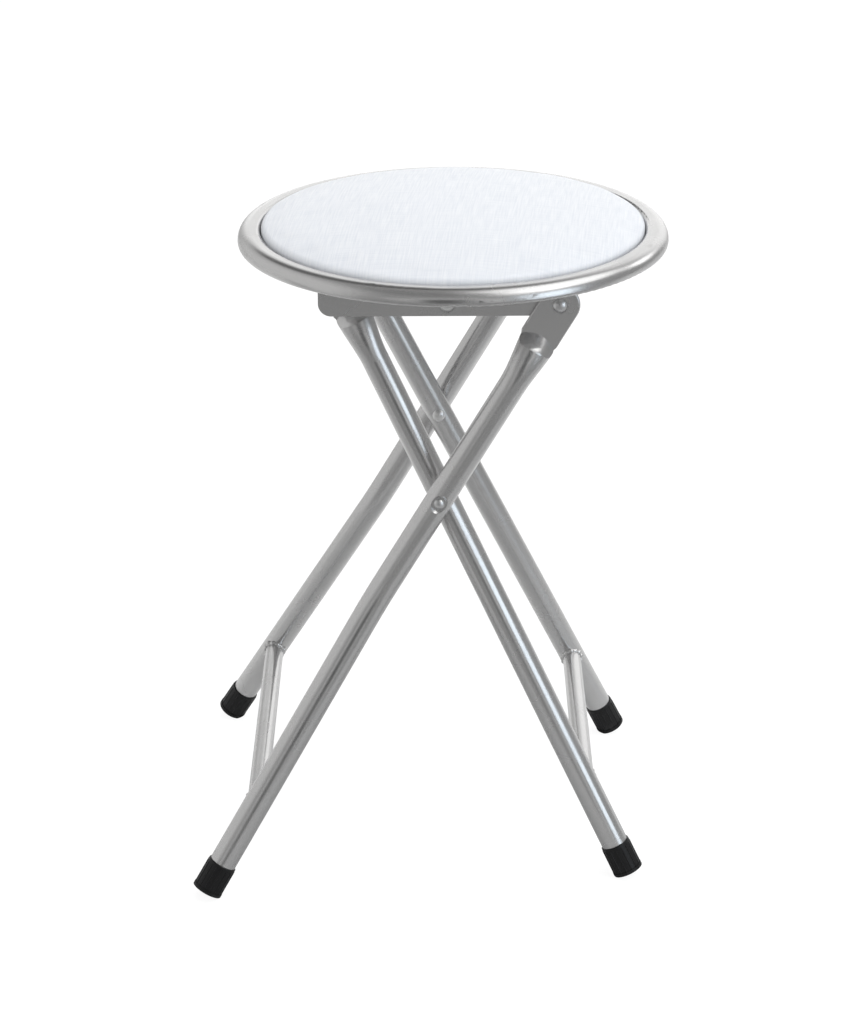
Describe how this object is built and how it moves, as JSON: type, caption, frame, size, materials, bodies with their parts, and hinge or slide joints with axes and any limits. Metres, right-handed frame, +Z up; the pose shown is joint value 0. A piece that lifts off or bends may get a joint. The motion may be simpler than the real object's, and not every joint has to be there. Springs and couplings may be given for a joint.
{
  "type": "padded folding stool",
  "caption": "Round padded folding stool: crossed steel tube legs pivot under a rolled-rim seat, which tips up on rivets and links as the legs close.",
  "frame": {"origin": "on the floor, in the middle of the box round the open stool", "axes": "+X along the seat rails towards the seat pivots, +Y from the front pair of legs to the rear pair, +Z up"},
  "size_m": [0.3356, 0.3092, 0.468],
  "materials": {
    "silver_paint": "silver paint, semi-gloss",
    "bright_steel": "bright zinc plate",
    "black_plastic": "matt, ribbed",
    "white_nylon": "plain",
    "plywood": "sanded",
    "foam": "open cell",
    "white_vinyl": "white vinyl with a fine woven grain"
  },
  "bodies": {
    "outer_frame": {"outer_leg_front": "silver_paint", "outer_leg_rear": "silver_paint", "outer_crossbar": "silver_paint", "outer_foot_front": "black_plastic", "outer_foot_rear": "black_plastic", "crossing_rivet_front": "bright_steel", "crossing_rivet_rear": "bright_steel", "crossing_washer_front": "white_nylon", "crossing_washer_rear": "white_nylon", "seat_pivot_rivet_front": "bright_steel", "seat_pivot_rivet_rear": "bright_steel"},
    "inner_frame": {"inner_leg_front": "silver_paint", "inner_leg_rear": "silver_paint", "inner_crossbar": "silver_paint", "inner_foot_front": "black_plastic", "inner_foot_rear": "black_plastic", "link_rivet_front": "bright_steel", "link_rivet_rear": "bright_steel"},
    "seat": {"seat_pan": "silver_paint", "rail_front": "silver_paint", "rail_rear": "silver_paint", "seat_board": "plywood", "seat_foam": "foam", "seat_cover": "white_vinyl", "seat_screws": "bright_steel", "link_axle": "bright_steel"},
    "links": {"link_front": "bright_steel", "link_rear": "bright_steel", "axle_sleeve": "bright_steel", "link_stud_front": "bright_steel", "link_stud_rear": "bright_steel"}
  },
  "joints": [
    {"name": "leg_fold", "type": "hinge", "parent": "outer_frame", "child": "inner_frame", "pos_m": [0.00746, 0, 0.2842], "axis": [0, 1, 0], "range_deg": [0, 41]},
    {"name": "seat_tilt", "type": "hinge", "parent": "outer_frame", "child": "seat", "pos_m": [0.08916, 0, 0.422], "axis": [0, 1, 0], "range_deg": [0, 81.5]},
    {"name": "link_swing", "type": "hinge", "parent": "seat", "child": "links", "pos_m": [0.01326, 0, 0.422], "axis": [0, 1, 0], "range_deg": [-146.9, 0]}
  ],
  "couplings": [
    {"joint": "seat_tilt", "follows": "leg_fold", "ratio": 1.9878},
    {"joint": "link_swing", "follows": "leg_fold", "ratio": -3.5815}
  ]
}
